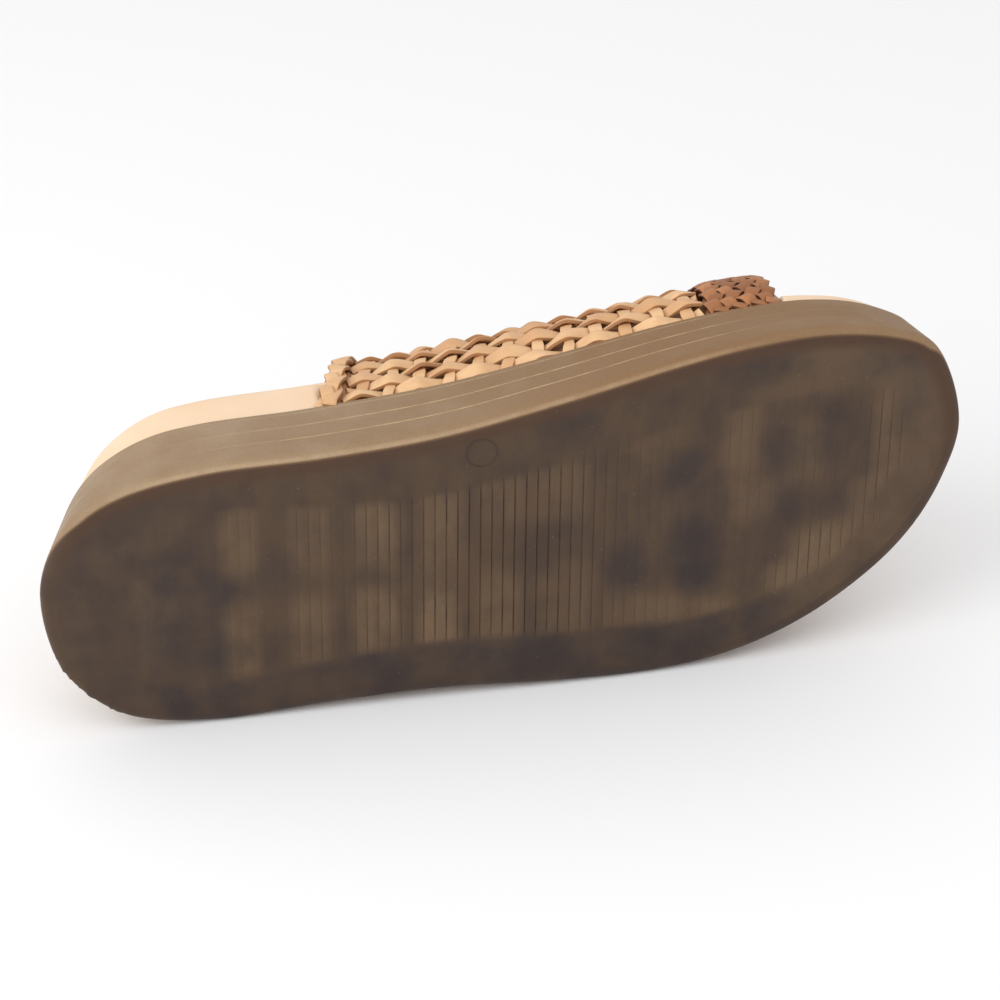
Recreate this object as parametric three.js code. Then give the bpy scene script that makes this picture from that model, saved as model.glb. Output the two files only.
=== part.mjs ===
// Left platform slide: a moulded rubber platform, a leather footbed and a woven leather band with
// braided edges, lying on its outer side. Sizes are in millimetres.
// The shoe is drawn standing (+X to the toe, +Y to its outer side, +Z up) and is then laid down.
import * as THREE from 'three';

// Widest outline of the platform: how far each side stands off the long axis
const OUTLINE = [
  { along: -109.5, outer: 22.6, inner: 11.2 },
  { along: -102, outer: 33.5, inner: 21.5 },
  { along: -91, outer: 41.0, inner: 27.9 },
  { along: -70, outer: 44.1, inner: 32.7 },
  { along: -40, outer: 41.9, inner: 34.7 },
  { along: -10, outer: 40.5, inner: 38.2 },
  { along: 20, outer: 41.3, inner: 45.1 },
  { along: 50, outer: 40.9, inner: 52.6 },
  { along: 70, outer: 37.7, inner: 56.1 },
  { along: 90, outer: 29.8, inner: 57.0 },
  { along: 109.5, outer: 16.1, inner: 53.4 },
  { along: 119.2, outer: 5.0, inner: 48.4 },
  { along: 125.6, outer: -7.6, inner: 37.4 },
];
const HEEL_TIP = { along: -113, outer: 2.0 };
const TOE_TIP = { along: 129, outer: -21.5 };
const SAMPLES_PER_SIDE = 36;
const END_CROWDING = 0.6;

// Platform sole
const DECK = [
  { along: -113, height: 26.0 },
  { along: -60, height: 26.2 },
  { along: -20, height: 27.2 },
  { along: 20, height: 25.6 },
  { along: 65, height: 24.0 },
  { along: 100, height: 24.6 },
  { along: 130, height: 25.6 },
];
const TOE_SPRING = 9.6;
const SPRING_START = 15.6;
const TREAD_INSET = 4.2;
const WALL_DRAFT = 1.7;
const HEEL_RAKE = 5.0;
const HEEL_RAKE_START = -75;
const TOE_RAKE = 2.2;
const TOE_RAKE_START = 95;
const FOOTBED_RAKE = 1.5;
const GROOVE_LEVELS = [0.37, 0.64, 0.91];
const GROOVE_HALF_WIDTH = 0.024;
const GROOVE_DEPTH = 0.9;
const WALL_START = 0.16;
const WALL_END = 0.97;
const DECK_CHAMFER = 0.9;

// Rounded bottom edge of the platform: share of its height, and share of the tread's inset
const BOTTOM_EDGE = [
  { rise: 0, inset: 1 },
  { rise: 0.02, inset: 0.5 },
  { rise: 0.07, inset: 0.17 },
];

// Leather footbed: height of its edge above the deck
const FOOTBED = [
  { along: -113, edge: 9.5 },
  { along: -90, edge: 13.5 },
  { along: -60, edge: 15.6 },
  { along: -25, edge: 15.2 },
  { along: 20, edge: 12.0 },
  { along: 70, edge: 7.4 },
  { along: 130, edge: 5.0 },
];
const FOOTBED_INSET = 2.2;
const FOOTBED_ROUND = 4.5;
const FOOTBED_UNDERCUT = 0.6;
const FOOTBED_DISH = 3.0;
const STEP_START = 11;
const STEP_END = 4;
const END_CENTRE = 42;

// Rounded top edge of the footbed, in shares of its rounding
const TOP_EDGE = [
  { below: 1, inset: 0 },
  { below: 0.45, inset: 0.12 },
  { below: 0.12, inset: 0.42 },
  { below: 0, inset: 1 },
];

// Dished top of the footbed: share of the way to its middle line, and share of the dish's depth
const DISH_RINGS = [
  { inward: 0.3, depth: 0.7 },
  { inward: 0.7, depth: 1 },
];

// Band over the foot: crown height above the deck and roundness of each side (2 is an ellipse)
const BAND = [
  { along: -40, crown: 60, innerRound: 1.6, outerRound: 2.1 },
  { along: 0, crown: 56, innerRound: 1.75, outerRound: 2.25 },
  { along: 40, crown: 49, innerRound: 1.95, outerRound: 2.4 },
  { along: 85, crown: 42, innerRound: 2.1, outerRound: 2.4 },
];
const BAND_REAR = { inner: -39, crown: -24, outer: -34 };
const BAND_FRONT = { inner: 82.5, crown: 80, outer: 70 };
const BAND_INSET = 3.9;
const RIDGE_SHARE = 0.45;
const BULGE = { inner: 0.8, outer: 4.4 };
const BULGE_SKEW = 0.55;
const WALL = 1.5;
const ARCH_SAMPLES = 240;
const NORMAL_STEP = 0.004;
const NORMAL_MARGIN = 0.03;

// Shares of the band's length, from its rear edge to its front edge
const WEAVE = { from: 0.057, to: 0.831 };
const REAR_BRAID = { from: 0, to: 0.054, lengthSteps: 4, archSteps: 40, pillow: 0.6 };
const FRONT_BRAID = { from: 0.834, to: 1, lengthSteps: 8, archSteps: 52, pillow: 1.6 };

// Plain weave: lengthwise strips pass over and under narrow cross strips
const WEAVE_COLUMNS = 12;
const WEAVE_ROWS = 26;
const STEPS_PER_COLUMN = 3;
const STEPS_PER_ROW = 2;
const STRIP_OVER = 1.4;
const STRIP_LEVEL = 0.9;
const STRIP_UNDER = 0.5;
const STRIP_GROOVE = 0.1;

// Slanted braids at the two edges of the band
const BRAID_HIGH = 1.3;
const BRAID_LOW = 0.3;
const PILLOW_POWER = 4;
const PILLOW_SINK = 0.5;

// Touching pieces stay this far apart
const SEAT_GAP = 0.3;
const BAND_CLEARANCE = 0.9;

// Laid on its outer side, the sole's edge at heel and ball and the band's side meet the floor
const LEVEL_TURN = 1.461;
const LEAN = 1.324;

// Surfaces
const RUBBER = { color: 0x6b5a44, roughness: 0.6, metalness: 0 };
const FOOTBED_LEATHER = { color: 0xe3bd94, roughness: 0.65, metalness: 0 };
const TAN_LEATHER = { color: 0xd0a578, roughness: 0.5, metalness: 0 };
const BROWN_LEATHER = { color: 0xa06d45, roughness: 0.45, metalness: 0 };

const { clamp, lerp, degToRad, smoothstep } = THREE.MathUtils;

function columnOf(table, column) {
  const positions = table.map((row) => row.along);
  const values = table.map((row) => row[column]);
  const curve = new THREE.CubicInterpolant(positions, values, 1);
  return (along) => curve.evaluate(along)[0];
}

function outlineCurve() {
  const point = (along, across) => new THREE.Vector3(along, across, 0);
  const outerSide = OUTLINE.map((row) => point(row.along, row.outer));
  const innerSide = OUTLINE.map((row) => point(row.along, -row.inner)).reverse();
  const heel = point(HEEL_TIP.along, HEEL_TIP.outer);
  const toe = point(TOE_TIP.along, TOE_TIP.outer);
  return new THREE.CatmullRomCurve3([heel, ...outerSide, toe, ...innerSide], true, 'centripetal');
}

// Points round the outline, heel to toe on the outer side and back on the inner, closer at the ends
function sampleOutline() {
  const curve = outlineCurve();
  const lengths = curve.getLengths(2 * OUTLINE.length * SAMPLES_PER_SIDE);
  const toeShare = lengths[(lengths.length - 1) / 2] / lengths.at(-1);
  const points = [];
  for (let i = 0; i < 2 * SAMPLES_PER_SIDE; i += 1) {
    const onOuter = i < SAMPLES_PER_SIDE;
    const even = (i % SAMPLES_PER_SIDE) / SAMPLES_PER_SIDE;
    const crowded = (1 - Math.cos(Math.PI * even)) / 2;
    const share = lerp(even, crowded, END_CROWDING);
    points.push(curve.getPointAt(onOuter ? toeShare * share : lerp(toeShare, 1, share)));
  }
  return points;
}

const outlinePoints = sampleOutline();
const deckHeight = columnOf(DECK, 'height');
const footbedEdge = columnOf(FOOTBED, 'edge');
const crownHeight = columnOf(BAND, 'crown');
const innerRound = columnOf(BAND, 'innerRound');
const outerRound = columnOf(BAND, 'outerRound');
const outerReach = columnOf(OUTLINE, 'outer');
const innerReach = columnOf(OUTLINE, 'inner');

function treadHeight(along) {
  const share = Math.max(0, (along - SPRING_START) / (TOE_TIP.along - SPRING_START));
  return TOE_SPRING * share * share;
}

// The outline drawn in by a distance that may change from point to point
function insetOutline(distanceAt) {
  const count = outlinePoints.length;
  return outlinePoints.map((point, i) => {
    const ahead = outlinePoints[(i + 1) % count];
    const behind = outlinePoints[(i + count - 1) % count];
    const outward = new THREE.Vector3(behind.y - ahead.y, ahead.x - behind.x, 0).normalize();
    return point.clone().addScaledVector(outward, -distanceAt(point));
  });
}

function geometryOf(points, triangles) {
  const geometry = new THREE.BufferGeometry().setFromPoints(points);
  geometry.setIndex(triangles);
  geometry.computeVertexNormals();
  return geometry;
}

// A solid from closed rings stacked upwards, capped across from the outer to the inner side
function stackRings(rings) {
  const size = rings[0].length;
  const half = size / 2;
  const triangles = [];
  for (let level = 0; level + 1 < rings.length; level += 1) {
    for (let i = 0; i < size; i += 1) {
      const next = (i + 1) % size;
      const [a, b] = [level * size + i, level * size + next];
      triangles.push(a, b + size, b, a, a + size, b + size);
    }
  }
  const addCap = (base, flip) => {
    const add = (a, b, c) => triangles.push(base + a, base + (flip ? c : b), base + (flip ? b : c));
    add(0, size - 1, 1);
    for (let i = 1; i + 1 < half; i += 1) {
      add(i, size - i, size - i - 1);
      add(i, size - i - 1, i + 1);
    }
    add(half - 1, half + 1, half);
  };
  addCap(0, true);
  addCap((rings.length - 1) * size, false);
  return geometryOf(rings.flat(), triangles);
}

// The ends of the heel and the toe lean in as they rise
function endRake(point, rise) {
  const heel = HEEL_RAKE * smoothstep(-point.x, -HEEL_RAKE_START, -HEEL_TIP.along);
  const toe = TOE_RAKE * smoothstep(point.x, TOE_RAKE_START, TOE_TIP.along);
  return (heel + toe) * rise;
}

// Section of the platform's side: share of the height and inset from the widest outline
function soleSection() {
  const wall = (rise) => ({ rise, inset: WALL_DRAFT * rise });
  const rows = BOTTOM_EDGE.map(({ rise, inset }) => ({ rise, inset: inset * TREAD_INSET }));
  rows.push(wall(WALL_START));
  for (const level of GROOVE_LEVELS) {
    rows.push(wall(level - GROOVE_HALF_WIDTH));
    rows.push({ rise: level, inset: wall(level).inset + GROOVE_DEPTH });
    rows.push(wall(level + GROOVE_HALF_WIDTH));
  }
  rows.push(wall(WALL_END), { rise: 1, inset: WALL_DRAFT + DECK_CHAMFER });
  return rows;
}

function soleGeometry() {
  const rings = soleSection().map(({ rise, inset }) => {
    const ring = insetOutline((point) => inset + endRake(point, rise));
    ring.forEach((point) => point.setZ(lerp(treadHeight(point.x), deckHeight(point.x), rise)));
    return ring;
  });
  return stackRings(rings);
}

// The footbed steps in where the band runs down outside it
function footbedInset(point) {
  const side = point.y > 0 ? 'outer' : 'inner';
  const rear = BAND_REAR[side];
  const front = BAND_FRONT[side];
  const underBand = smoothstep(point.x, rear - STEP_START, rear - STEP_END)
    * (1 - smoothstep(point.x, front + STEP_END, front + STEP_START));
  return lerp(FOOTBED_INSET, BAND_INSET + WALL + BAND_CLEARANCE, underBand);
}

function footbedGeometry() {
  const ringAt = (inset, riseAt) => {
    const ring = insetOutline((point) => footbedInset(point) + endRake(point, FOOTBED_RAKE) + inset);
    return ring.map((point) => point.setZ(deckHeight(point.x) + riseAt(point)));
  };
  const underside = ringAt(FOOTBED_UNDERCUT, () => SEAT_GAP);
  const topEdge = TOP_EDGE.map(({ below, inset }) => (
    ringAt(FOOTBED_ROUND * inset, (point) => footbedEdge(point.x) - FOOTBED_ROUND * below)
  ));
  const rim = topEdge.at(-1);
  const dish = DISH_RINGS.map(({ inward, depth }) => rim.map((point, i) => {
    const opposite = rim[(rim.length - i) % rim.length];
    const along = clamp(point.x, HEEL_TIP.along + END_CENTRE, TOE_TIP.along - END_CENTRE);
    const across = (point.y + opposite.y) / 2;
    const moved = point.clone().lerp(new THREE.Vector3(along, across, 0), inward);
    return moved.setZ(deckHeight(moved.x) + footbedEdge(moved.x) - FOOTBED_DISH * depth);
  }));
  return stackRings([underside, ...topEdge, ...dish]);
}

function edgeAlong(edge, angle) {
  const across = (1 - Math.cos(angle)) / 2;
  const base = lerp(edge.inner, edge.outer, across);
  const middle = (edge.inner + edge.outer) / 2;
  return base + (edge.crown - middle) * Math.sin(angle);
}

// A point of the band: share of its length, and angle over the foot from the inner to the outer side
function bandPoint(share, angle) {
  const along = lerp(edgeAlong(BAND_REAR, angle), edgeAlong(BAND_FRONT, angle), share);
  const inner = BAND_INSET - innerReach(along);
  const outer = outerReach(along) - BAND_INSET;
  const ridge = lerp(inner, outer, RIDGE_SHARE);
  const onInner = angle < Math.PI / 2;
  const power = 2 / (onInner ? innerRound(along) : outerRound(along));
  const climb = onInner ? angle : Math.PI - angle;
  const bulge = Math.sin(Math.PI * Math.pow(climb / (Math.PI / 2), BULGE_SKEW));
  const reach = Math.pow(Math.cos(climb), power);
  const across = onInner
    ? lerp(ridge, inner, reach) - BULGE.inner * bulge
    : lerp(ridge, outer, reach) + BULGE.outer * bulge;
  const rise = crownHeight(along) * Math.pow(Math.sin(climb), power);
  return new THREE.Vector3(along, across, deckHeight(along) + SEAT_GAP + rise);
}

function bandNormal(share, angle) {
  const held = clamp(angle, NORMAL_MARGIN, Math.PI - NORMAL_MARGIN);
  const lengthwise = bandPoint(share + NORMAL_STEP, held).sub(bandPoint(share - NORMAL_STEP, held));
  const crosswise = bandPoint(share, held + NORMAL_STEP).sub(bandPoint(share, held - NORMAL_STEP));
  return lengthwise.cross(crosswise).normalize();
}

// Angles that divide the arch at one share of the band's length into equal lengths
function evenAngles(share, count) {
  const angles = Array.from({ length: ARCH_SAMPLES + 1 }, (unused, i) => (Math.PI * i) / ARCH_SAMPLES);
  const points = angles.map((angle) => bandPoint(share, angle));
  const lengths = [0];
  for (let i = 1; i <= ARCH_SAMPLES; i += 1) {
    lengths.push(lengths[i - 1] + points[i].distanceTo(points[i - 1]));
  }
  const angleAt = new THREE.LinearInterpolant(lengths, angles, 1);
  const total = lengths[ARCH_SAMPLES];
  return Array.from({ length: count + 1 }, (unused, i) => angleAt.evaluate((total * i) / count)[0]);
}

// A grid of points on the band, lifted off its middle surface
function bandGrid(range, lengthSteps, archSteps, liftAt) {
  const grid = [];
  for (let i = 0; i <= lengthSteps; i += 1) {
    const share = lerp(range.from, range.to, i / lengthSteps);
    grid.push(evenAngles(share, archSteps).map((angle, j) => {
      const point = bandPoint(share, angle).addScaledVector(bandNormal(share, angle), liftAt(i, j));
      return point.setZ(Math.max(point.z, deckHeight(point.x) + SEAT_GAP));
    }));
  }
  return grid;
}

// A closed wall between an outer and an inner grid of different fineness
function wallBetween(outerGrid, innerGrid) {
  const points = [];
  const triangles = [];
  const number = (grid) => grid.map((row) => row.map((point) => points.push(point) - 1));
  const outer = number(outerGrid);
  const inner = number(innerGrid);
  const fill = (grid, flip) => {
    for (let i = 0; i + 1 < grid.length; i += 1) {
      for (let j = 0; j + 1 < grid[0].length; j += 1) {
        const [a, b, c, d] = [grid[i][j], grid[i + 1][j], grid[i + 1][j + 1], grid[i][j + 1]];
        triangles.push(...(flip ? [a, c, b, a, d, c] : [a, b, c, a, c, d]));
      }
    }
  };
  fill(outer, false);
  fill(inner, true);
  const sides = (grid) => [
    grid.map((row) => row[0]),
    grid.at(-1),
    grid.map((row) => row.at(-1)).reverse(),
    [...grid[0]].reverse(),
  ];
  const innerSides = sides(inner);
  sides(outer).forEach((outerSide, side) => {
    const innerSide = innerSides[side];
    let [i, j] = [0, 0];
    while (i + 1 < outerSide.length || j + 1 < innerSide.length) {
      const outerNext = (i + 1) / (outerSide.length - 1);
      const innerNext = (j + 1) / (innerSide.length - 1);
      if (outerNext <= innerNext) {
        triangles.push(outerSide[i + 1], outerSide[i], innerSide[j]);
        i += 1;
      } else {
        triangles.push(innerSide[j], innerSide[j + 1], outerSide[i]);
        j += 1;
      }
    }
  });
  return geometryOf(points, triangles);
}

// Height of the weave at a grid point: strips run over and under by turns, with grooves between
function weaveLift(i, j) {
  if (j % STEPS_PER_ROW === 0) {
    return STRIP_GROOVE;
  }
  if (i % STEPS_PER_COLUMN === 0) {
    return STRIP_LEVEL;
  }
  const column = Math.floor(i / STEPS_PER_COLUMN);
  const row = Math.floor(j / STEPS_PER_ROW);
  return (column + row) % 2 === 0 ? STRIP_OVER : STRIP_UNDER;
}

function weaveGeometry() {
  const outer = bandGrid(WEAVE, WEAVE_COLUMNS * STEPS_PER_COLUMN, WEAVE_ROWS * STEPS_PER_ROW, weaveLift);
  const inner = bandGrid(WEAVE, WEAVE_COLUMNS, WEAVE_ROWS, () => -WALL);
  return wallBetween(outer, inner);
}

// A braid of slanted strips: a chequer of high and low points on a pillow that rolls down at its edges
function braidGeometry(braid) {
  const liftAt = (i, j) => {
    const offCentre = (2 * i) / braid.lengthSteps - 1;
    const high = (i + j) % 2 === 0 ? BRAID_HIGH : BRAID_LOW;
    return high + braid.pillow * (1 - PILLOW_SINK - Math.pow(offCentre, PILLOW_POWER));
  };
  const outer = bandGrid(braid, braid.lengthSteps, braid.archSteps, liftAt);
  const inner = bandGrid(braid, 2, braid.archSteps / 2, () => -WALL);
  return wallBetween(outer, inner);
}

function piece(name, geometry, surface) {
  const mesh = new THREE.Mesh(geometry, new THREE.MeshStandardMaterial(surface));
  mesh.name = name;
  return mesh;
}

const shoe = new THREE.Group();
shoe.add(piece('sole', soleGeometry(), RUBBER));
shoe.add(piece('footbed', footbedGeometry(), FOOTBED_LEATHER));
shoe.add(piece('woven_band', weaveGeometry(), TAN_LEATHER));
shoe.add(piece('front_braid', braidGeometry(FRONT_BRAID), BROWN_LEATHER));
shoe.add(piece('rear_braid', braidGeometry(REAR_BRAID), TAN_LEATHER));

// Lay the shoe down and put the origin at the middle of its footprint
shoe.rotation.set(degToRad(LEAN - 90), 0, degToRad(LEVEL_TURN));
const box = new THREE.Box3().setFromObject(shoe, true);
const middle = box.getCenter(new THREE.Vector3());
shoe.position.set(-middle.x, -middle.y, -box.min.z);

const part = new THREE.Group();
part.add(shoe);

export default part;
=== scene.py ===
import math

import bpy
import numpy as np
from mathutils import Matrix, Quaternion, Vector


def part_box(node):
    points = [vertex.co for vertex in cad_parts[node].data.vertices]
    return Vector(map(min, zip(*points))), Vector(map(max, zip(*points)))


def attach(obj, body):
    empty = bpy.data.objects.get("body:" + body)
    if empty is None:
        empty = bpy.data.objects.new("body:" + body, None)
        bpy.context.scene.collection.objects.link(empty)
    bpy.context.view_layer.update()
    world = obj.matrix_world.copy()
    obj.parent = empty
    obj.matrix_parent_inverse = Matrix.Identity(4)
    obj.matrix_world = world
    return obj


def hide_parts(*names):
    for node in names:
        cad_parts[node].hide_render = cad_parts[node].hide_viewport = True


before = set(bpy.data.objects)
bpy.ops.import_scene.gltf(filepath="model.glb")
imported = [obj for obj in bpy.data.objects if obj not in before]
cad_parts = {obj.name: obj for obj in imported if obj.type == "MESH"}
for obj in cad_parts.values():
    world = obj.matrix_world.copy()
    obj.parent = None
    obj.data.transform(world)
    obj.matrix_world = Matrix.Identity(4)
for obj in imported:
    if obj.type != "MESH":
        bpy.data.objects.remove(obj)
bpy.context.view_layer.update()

MM = 0.001

# Sizes are in millimetres, for the shoe standing: +X to the toe, +Y to its outer side, +Z up
# A rise is a share of the way from the tread up to the deck
# A stretch with four ends fades in between the first two and out between the last two

# Widest outline of the platform: along, outer side, inner side
OUTLINE = (
    (-109.5, 22.6, 11.2),
    (-102, 33.5, 21.5),
    (-91, 41.0, 27.9),
    (-70, 44.1, 32.7),
    (-40, 41.9, 34.7),
    (-10, 40.5, 38.2),
    (20, 41.3, 45.1),
    (50, 40.9, 52.6),
    (70, 37.7, 56.1),
    (90, 29.8, 57.0),
    (109.5, 16.1, 53.4),
    (119.2, 5.0, 48.4),
    (125.6, -7.6, 37.4),
)
HEEL_TIP = (-113, 2.0)
TOE_TIP = (129, -21.5)
LOOP_STEPS = 60

# Deck of the platform and edge of the footbed above it: along, height
DECK = ((-113, 26.0), (-60, 26.2), (-20, 27.2), (20, 25.6), (65, 24.0), (100, 24.6), (130, 25.6))
FOOTBED = ((-113, 9.5), (-90, 13.5), (-60, 15.6), (-25, 15.2), (20, 12.0), (70, 7.4), (130, 5.0))

# Platform: the toe springs up, the bottom edge is rounded, and the wall and the two ends lean in
TOE_SPRING = 9.6
SPRING_START = 15.6
TREAD_INSET = 3.9
EDGE_RISE = 0.15
EDGE_ROUND = 2.5
EDGE_STEPS = 12
WALL_DRAFT = 1.7
WALL_START_RISE = 0.25
WALL_END_RISE = 0.97
DECK_CHAMFER = 0.9
HEEL_RAKE = 5.0
HEEL_RAKE_START = -75
TOE_RAKE = 2.2
TOE_RAKE_START = 95
# Where the sole is taken as widest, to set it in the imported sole's box
WIDEST_RISE = 0.1

# Grooves along the wall: rise, and how much each shows
WALL_GROOVES = ((0.37, 1.0), (0.64, 1.0), (0.91, 0.5))
# Section of a groove: place in half widths, which are rises, and share of its depth
WALL_GROOVE_SECTION = ((-2, 0), (-1, 0), (-0.5, 0.8), (0, 1), (0.5, 0.8), (1, 0), (2, 0))
WALL_GROOVE_HALF = 0.014
WALL_GROOVE_DEPTH = 0.25
WALL_GROOVE_ENDS = (-80, -20, 52, 76)
WALL_GROOVE_LEAST = 0.12
# Round the heel the wall's grooves come back, with painted shade in them
HEEL_GROOVE_ENDS = (-109, -96)
# Ragged stretch of the heel's bottom edge on the outer side
RAGGED = {
    "ends": (-112, -109, -97, -90), "rise": (0.02, 0.1), "reach": 1.0, "least": 0.2, "power": 3, "seed": 3,
}

# How pale the wall is: along, share
WALL_TONE = ((-113, 1.0), (-40, 0.85), (20, 0.3), (60, 0.1), (129, 0.65))
DECK_TONE = 0.5
# Rises between which the tread's colour turns into the wall's, on either side
COLOUR_TURN = {"outer": (0.05, 0.14), "inner": (0.004, 0.018)}
# Shares of an edge's run towards the heel, between which it comes to count as the inner side
INNER_FACING = (0.25, 0.75)
# Pale line at the wall's bottom edge, on the inner side: partly wear, partly a painted highlight where the
# rounded edge catches light
EDGE_WEAR_AND_HIGHLIGHT = {"strength": 0.3, "ends": (-100, -70, 50, 80), "rise": (0.01, 0.016, 0.026, 0.05)}

# Tread: fine grooves across the bottom, inside a smooth border
GROOVE_FIRST = -97.1
GROOVE_PITCH = 2.94
GROOVE_COUNT = 73
GROOVE_HALF = 0.27
GROOVE_DEPTH = 0.22
TREAD_COLUMNS = 44
END_STEPS = 40
BORDER_SOFTNESS = 1.4
# Width of the border: along, outer side, inner side
BORDER = (
    (-113, 9, 9), (-60, 8.5, 9.5), (-20, 11.5, 13.5), (15, 12, 14), (45, 12, 15), (90, 9, 14), (130, 9, 9),
)
# How pale the border is: along, share
BORDER_TONE = ((-113, 0.15), (-80, 0), (55, 0), (90, 0.4), (130, 0.35))
# How much the grooves show: along, between the pale patches, on them
GROOVE_WEAR = (
    (-98, 0.1, 0.3), (-70, 0.1, 0.4), (-45, 0.2, 0.7), (-25, 0.5, 0.9), (-12, 0.9, 1.0), (25, 0.9, 1.0),
    (40, 0.4, 0.6), (60, 0.25, 0.4), (80, 0.25, 0.7), (100, 0.4, 1.0), (114, 0.4, 1.0),
)
# Pale patches, where the cells above show through: along, across, half length, half width, strength
PATCHES = (
    (-62, -13, 4.5, 12, 0.6), (-62, 20, 4.5, 11, 0.65), (-44, -12, 5, 11, 0.6), (-44, 18, 5, 10, 0.7),
    (-27, -11, 5.5, 11, 0.8), (-27, 17, 5.5, 10, 1.0), (-10, -8, 5.5, 14, 0.6), (-11, 18, 5, 9, 1.0),
    (5, -18, 6, 8, 0.5), (5, 16, 6, 11, 0.6), (20, -18, 7, 8, 0.4), (22, 14, 7, 10, 0.4),
    (68, -28, 5, 12, 0.55), (72, -10, 6, 6, 0.5), (85, -22, 5, 9, 0.5), (93, -40, 4, 4, 0.3),
    (109, -24, 5, 16, 0.65), (104, -4, 6, 7, 0.6), (92, 9, 9, 8, 0.9), (82, 17, 6, 6, 0.8),
    (48, 22, 7, 6, 0.6), (62, 24, 6, 5, 0.6), (38, 20, 5, 6, 0.4), (45, -28, 6, 8, 0.35),
    (-84, 3, 5, 7, 0.4), (-90, -14, 6, 6, 0.3), (-84, 18, 4, 6, 0.3),
)
# Dark stains on the tread: along, across, half length, half width, strength
STAINS = (
    (-78, -3, 9, 7, 0.9), (-68, 5, 8, 6, 0.9), (-78, 14, 11, 9, 0.6), (-70, 24, 7, 9, 0.6),
    (-95, -12, 9, 9, 0.5), (-84, -24, 14, 5, 0.6), (-62, 36, 14, 5, 0.9), (-53, 2, 6, 6, 0.5),
    (-104, 0, 6, 13, 0.4), (-86, 4, 24, 30, 0.3), (-15, 34, 22, 4, 0.5), (22, -38, 10, 8, 0.5),
    (55, -18, 8, 9, 0.9), (55, 0, 8, 8, 0.8), (57, 11, 7, 6, 0.9), (38, 8, 6, 10, 0.6),
    (72, -48, 12, 5, 0.7), (78, -25, 7, 11, 0.5), (78, -5, 7, 9, 0.55), (92, -28, 6, 11, 0.5),
    (97, -6, 8, 6, 0.55), (113, -35, 4, 10, 0.5), (32, 33, 24, 5, 0.8), (107, -45, 11, 5, 0.45),
)
# How square the spots are, and the shares of their half sizes between which they fade out
PATCH_EDGE = {"power": 4, "low": 0.5, "high": 1.5}
STAIN_EDGE = {"power": 2, "low": 0.2, "high": 1.5}
# Share of a groove that a full stain hides
STAIN_COVER = 0.6
# Darker border along the outer side
OUTER_SHADE = {"strength": 0.75, "across": (10, 25), "ends": (-106, -80, 70, 95)}
# Painted warm glow of light through the translucent rubber just inside the bottom edge, strong on the
# inner side and faint elsewhere
RIM_GLOW = {"inside": (0.3, 3.2), "across": (0, 25), "least": 0.1}
# The ring mark's dark share paints shade along the raised ring
RING_MARK = {
    "along": 0.0, "across": -31.0, "radius": 3.9, "half": 0.3, "height": 0.16, "dark": 0.5, "steps": 48,
}
# Section of the ring mark, in shares of half its width and of its height
RING_SECTION = ((-1, -1), (-0.6, 0.7), (0, 1), (0.6, 0.7), (1, -1))

# Footbed
FOOTBED_INSET = 2.2
FOOTBED_ROUND = 4.5
FOOTBED_RAKE_RISE = 1.5
FOOTBED_UNDERCUT = 0.6
FOOTBED_STATIONS = 321
ROUND_STEPS = 8
DISH_DEPTH = 3.0
DISH_REACH = 22
DISH_COLUMNS = 20
REAR_STEP = (1.2, 3.2)
FRONT_STEP = (-1.2, 0.8)
STEP_LEAN = 0.3
BAND_CLEARANCE = 0.9
SEAT_GAP = 0.3

# Band over the foot: along, crown above the deck, roundness of the inner side and of the outer side
BAND = (
    (-40, 60, 1.6, 2.1),
    (0, 56, 1.75, 2.25),
    (40, 49, 1.95, 2.4),
    (85, 42, 2.1, 2.4),
)
BAND_REAR = {"inner": -39, "crown": -24, "outer": -34}
BAND_FRONT = {"inner": 82.5, "crown": 80, "outer": 70}
BAND_INSET = 3.9
BAND_WALL = 1.5
RIDGE_SHARE = 0.45
BULGE_INNER = 0.8
BULGE_OUTER = 4.4
BULGE_SKEW = 0.55
LENGTH_CELLS = 120
ARCH_CELLS = 400
ARCH_SAMPLES = 1200

# Weave of flat leather strips, between two shares of the band's length
WEAVE = (0.057, 0.831)
WEAVE_COLUMNS = 12
WEAVE_ROWS = 26
STRIP_THICKNESS = 1.3
LONG_STRIP = {"over": 4.9, "under": 4.2, "wave": 1.25, "steps": 14, "wander": 0.8, "tilt": 0.35}
CROSS_STRIP = {"over": 3.3, "under": 2.9, "wave": 0.35, "steps": 9, "wander": 0.6, "tilt": 0.15}
WAVE_SHARPNESS = 0.93
WAVE_SPREAD = 0.2
WIDTH_SPREAD = 0.5
TONE_SPREAD = 0.4
STRIP_SEED = 7
# Lining: its outer face, the same face raised under the rear braid, its inner face, how that sags, and how
# far it is painted dark, as shade seen through the gaps
LINING = {"outer": -1.9, "rear": 0.4, "rear_ends": (0.045, 0.075), "inner": -2.3, "sag": 0.6, "shade": 0.8}
LINING_CELLS = (40, 100)

# Braids along the two edges of the band, between two shares of its length
REAR_BRAID = {
    "from": 0, "to": 0.054, "strands": 3, "width": 3.6, "thickness": 1.3,
    "base": 1.25, "pillow": 0.6, "stretch": 2.5, "roll": 0.3,
}
FRONT_BRAID = {
    "from": 0.834, "to": 1, "strands": 9, "width": 4.0, "thickness": 1.1,
    "base": 0.6, "pillow": 1.4, "stretch": 1.7, "roll": 0.8,
}
BRAID_STEP = 0.5
BRAID_WAVE = 0.85
PILLOW_POWER = 4
PILLOW_SINK = 0.5
TURN_SHARPNESS = 0.55
BRAID_TONE_PITCH = 8.0

# Section of a strip, in shares of half its width and half its thickness
STRIP_EDGE = 0.93
STRIP_SECTION = (
    (-1.0, -0.6), (-1.0, 0.5), (-STRIP_EDGE, 0.8), (-0.5, 0.97), (0.0, 1.05), (0.5, 0.97),
    (STRIP_EDGE, 0.8), (1.0, 0.5), (1.0, -0.6), (0.9, -0.9), (0.0, -1.0), (-0.9, -0.9),
)

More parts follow.
